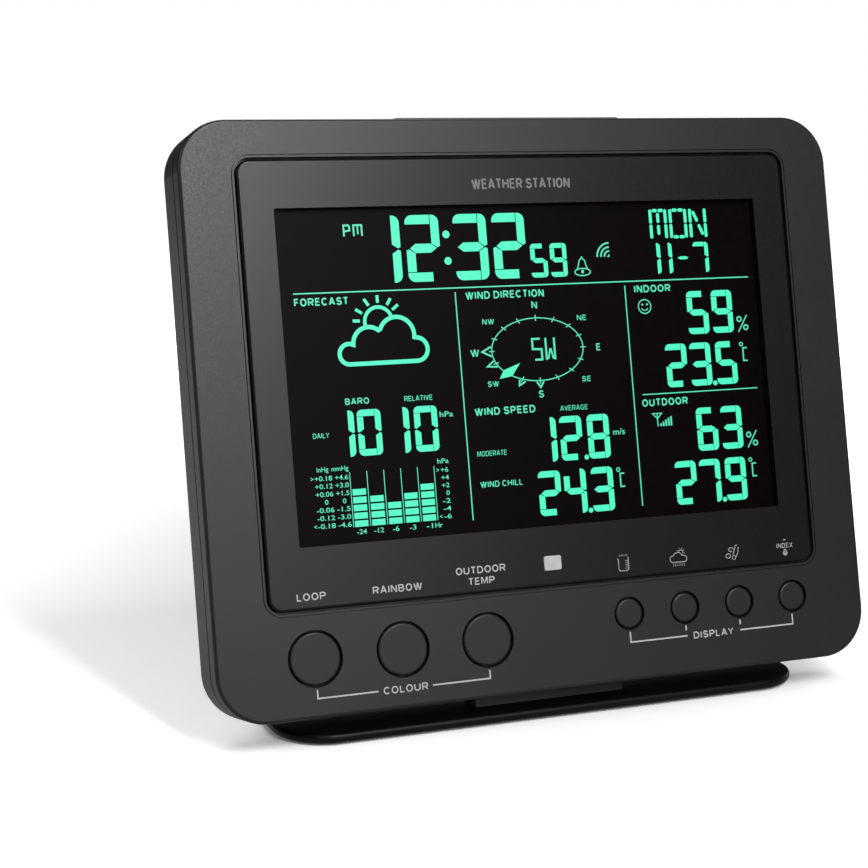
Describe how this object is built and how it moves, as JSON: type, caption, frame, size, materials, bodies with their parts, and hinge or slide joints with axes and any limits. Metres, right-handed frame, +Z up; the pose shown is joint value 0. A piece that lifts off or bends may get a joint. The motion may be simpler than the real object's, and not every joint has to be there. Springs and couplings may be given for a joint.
{
  "type": "home weather station",
  "caption": "Tabletop weather station console with a wide backlit display in a bezel, round front buttons and a plug-in stand; the keys, battery door and console move.",
  "frame": {"origin": "centre of the bounding box's base, on the surface the rubber feet stand on", "axes": "+Z up, +X to the right of someone looking at the display, +Y away from them"},
  "size_m": [0.2024, 0.07, 0.1689],
  "materials": {
    "case_plastic": "fine matt moulded texture",
    "bezel_plastic": "fine matt moulded texture",
    "button_plastic": "fine matt moulded texture",
    "stand_plastic": "satin moulded",
    "screw_steel": "zinc plated",
    "polariser_film": "smooth dark film",
    "display_glass": "clear, coated",
    "white_film": "matt film",
    "clear_plastic": "clear moulded",
    "led_plastic": "cast lens",
    "board_laminate": "green solder mask",
    "module_laminate": "blue solder mask",
    "white_plastic": "satin moulded",
    "contact_rubber": "silicone strip",
    "chip_plastic": "moulded epoxy",
    "shield_steel": "tinned",
    "antenna_copper": "drawn wire",
    "ribbon_plastic": "flexible flat cable",
    "lead_plastic": "insulated wire",
    "lens_plastic": "frosted moulded",
    "knob_plastic": "satin moulded",
    "cell_steel": "stamped",
    "contact_brass": "spring strip",
    "foot_rubber": "matt",
    "display_ink": "lit display segment",
    "legend_ink": "pad printed ink"
  },
  "bodies": {
    "stand": {"stand_plate": "stand_plastic", "stand_riser": "case_plastic", "stand_screws": "screw_steel", "rubber_feet": "foot_rubber"},
    "console": {"front_shell": "case_plastic", "bezel_panel": "bezel_plastic", "rear_shell": "case_plastic", "case_screws": "screw_steel", "lcd_polariser": "polariser_film", "lcd_glass": "display_glass", "diffuser_sheet": "white_film", "light_guide": "clear_plastic", "reflector_sheet": "white_film", "backlight_leds": "led_plastic", "led_strips": "board_laminate", "lcd_frame": "white_plastic", "zebra_strips": "contact_rubber", "main_board": "board_laminate", "controller_chip": "chip_plastic", "driver_chips": "chip_plastic", "wifi_module": "shield_steel", "radio_module": "module_laminate", "antenna_wire": "antenna_copper", "capacitors": "chip_plastic", "buzzer": "chip_plastic", "board_header": "chip_plastic", "key_board": "board_laminate", "key_ribbon": "ribbon_plastic", "front_switches": "chip_plastic", "rear_board": "board_laminate", "rear_switches": "chip_plastic", "slide_switch": "shield_steel", "snooze_board": "board_laminate", "snooze_switch": "chip_plastic", "climate_sensor": "white_plastic", "sensor_lead": "lead_plastic", "board_screws": "screw_steel", "alert_led": "led_plastic", "alert_lens": "lens_plastic", "coin_cell": "cell_steel", "cell_contacts": "contact_brass", "cell_leads": "lead_plastic", "power_socket": "chip_plastic"},
    "loop_button": {"loop_button": "button_plastic"},
    "rainbow_button": {"rainbow_button": "button_plastic"},
    "outdoor_button": {"outdoor_button": "button_plastic"},
    "rain_button": {"rain_button": "button_plastic"},
    "forecast_button": {"forecast_button": "button_plastic"},
    "wind_button": {"wind_button": "button_plastic"},
    "index_button": {"index_button": "button_plastic"},
    "snooze_key": {"snooze_key": "button_plastic"},
    "history_key": {"history_key": "button_plastic"},
    "alarm_key": {"alarm_key": "button_plastic"},
    "alert_key": {"alert_key": "button_plastic"},
    "clock_key": {"clock_key": "button_plastic"},
    "up_key": {"up_key": "button_plastic"},
    "down_key": {"down_key": "button_plastic"},
    "slide_knob": {"slide_knob": "knob_plastic"},
    "reset_key": {"reset_key": "knob_plastic"},
    "battery_door": {"battery_door": "case_plastic"}
  },
  "joints": [
    {"name": "console_lift", "type": "slide", "parent": "stand", "child": "console", "axis": [0, 0.2133, 0.977], "range_m": [0, 0.03]},
    {"name": "loop_press", "type": "slide", "parent": "console", "child": "loop_button", "axis": [0, 0.977, -0.2133], "range_m": [0, 0.0007], "stiffness_N_per_m": 800, "springref_m": -0.0005},
    {"name": "rainbow_press", "type": "slide", "parent": "console", "child": "rainbow_button", "axis": [0, 0.977, -0.2133], "range_m": [0, 0.0007], "stiffness_N_per_m": 800, "springref_m": -0.0005},
    {"name": "outdoor_press", "type": "slide", "parent": "console", "child": "outdoor_button", "axis": [0, 0.977, -0.2133], "range_m": [0, 0.0007], "stiffness_N_per_m": 800, "springref_m": -0.0005},
    {"name": "rain_press", "type": "slide", "parent": "console", "child": "rain_button", "axis": [0, 0.977, -0.2133], "range_m": [0, 0.0007], "stiffness_N_per_m": 800, "springref_m": -0.0005},
    {"name": "forecast_press", "type": "slide", "parent": "console", "child": "forecast_button", "axis": [0, 0.977, -0.2133], "range_m": [0, 0.0007], "stiffness_N_per_m": 800, "springref_m": -0.0005},
    {"name": "wind_press", "type": "slide", "parent": "console", "child": "wind_button", "axis": [0, 0.977, -0.2133], "range_m": [0, 0.0007], "stiffness_N_per_m": 800, "springref_m": -0.0005},
    {"name": "index_press", "type": "slide", "parent": "console", "child": "index_button", "axis": [0, 0.977, -0.2133], "range_m": [0, 0.0007], "stiffness_N_per_m": 800, "springref_m": -0.0005},
    {"name": "snooze_press", "type": "slide", "parent": "console", "child": "snooze_key", "axis": [0, -0.2133, -0.977], "range_m": [0, 0.001], "stiffness_N_per_m": 800, "springref_m": -0.0006},
    {"name": "history_press", "type": "slide", "parent": "console", "child": "history_key", "axis": [0, -0.977, 0.2133], "range_m": [0, 0.0007], "stiffness_N_per_m": 800, "springref_m": -0.0005},
    {"name": "alarm_press", "type": "slide", "parent": "console", "child": "alarm_key", "axis": [0, -0.977, 0.2133], "range_m": [0, 0.0007], "stiffness_N_per_m": 800, "springref_m": -0.0005},
    {"name": "alert_press", "type": "slide", "parent": "console", "child": "alert_key", "axis": [0, -0.977, 0.2133], "range_m": [0, 0.0007], "stiffness_N_per_m": 800, "springref_m": -0.0005},
    {"name": "clock_press", "type": "slide", "parent": "console", "child": "clock_key", "axis": [0, -0.977, 0.2133], "range_m": [0, 0.0007], "stiffness_N_per_m": 800, "springref_m": -0.0005},
    {"name": "up_press", "type": "slide", "parent": "console", "child": "up_key", "axis": [0, -0.977, 0.2133], "range_m": [0, 0.0007], "stiffness_N_per_m": 800, "springref_m": -0.0005},
    {"name": "down_press", "type": "slide", "parent": "console", "child": "down_key", "axis": [0, -0.977, 0.2133], "range_m": [0, 0.0007], "stiffness_N_per_m": 800, "springref_m": -0.0005},
    {"name": "reset_press", "type": "slide", "parent": "console", "child": "reset_key", "axis": [0, -0.977, 0.2133], "range_m": [0, 0.0005], "stiffness_N_per_m": 800, "springref_m": -0.0005},
    {"name": "backlight_slide", "type": "slide", "parent": "console", "child": "slide_knob", "axis": [0, 0.2133, 0.977], "range_m": [0, 0.004]},
    {"name": "battery_door_hinge", "type": "hinge", "parent": "console", "child": "battery_door", "pos_m": [0, 0.00242, 0.05122], "axis": [-1, 0, 0], "range_deg": [0, 90]}
  ]
}
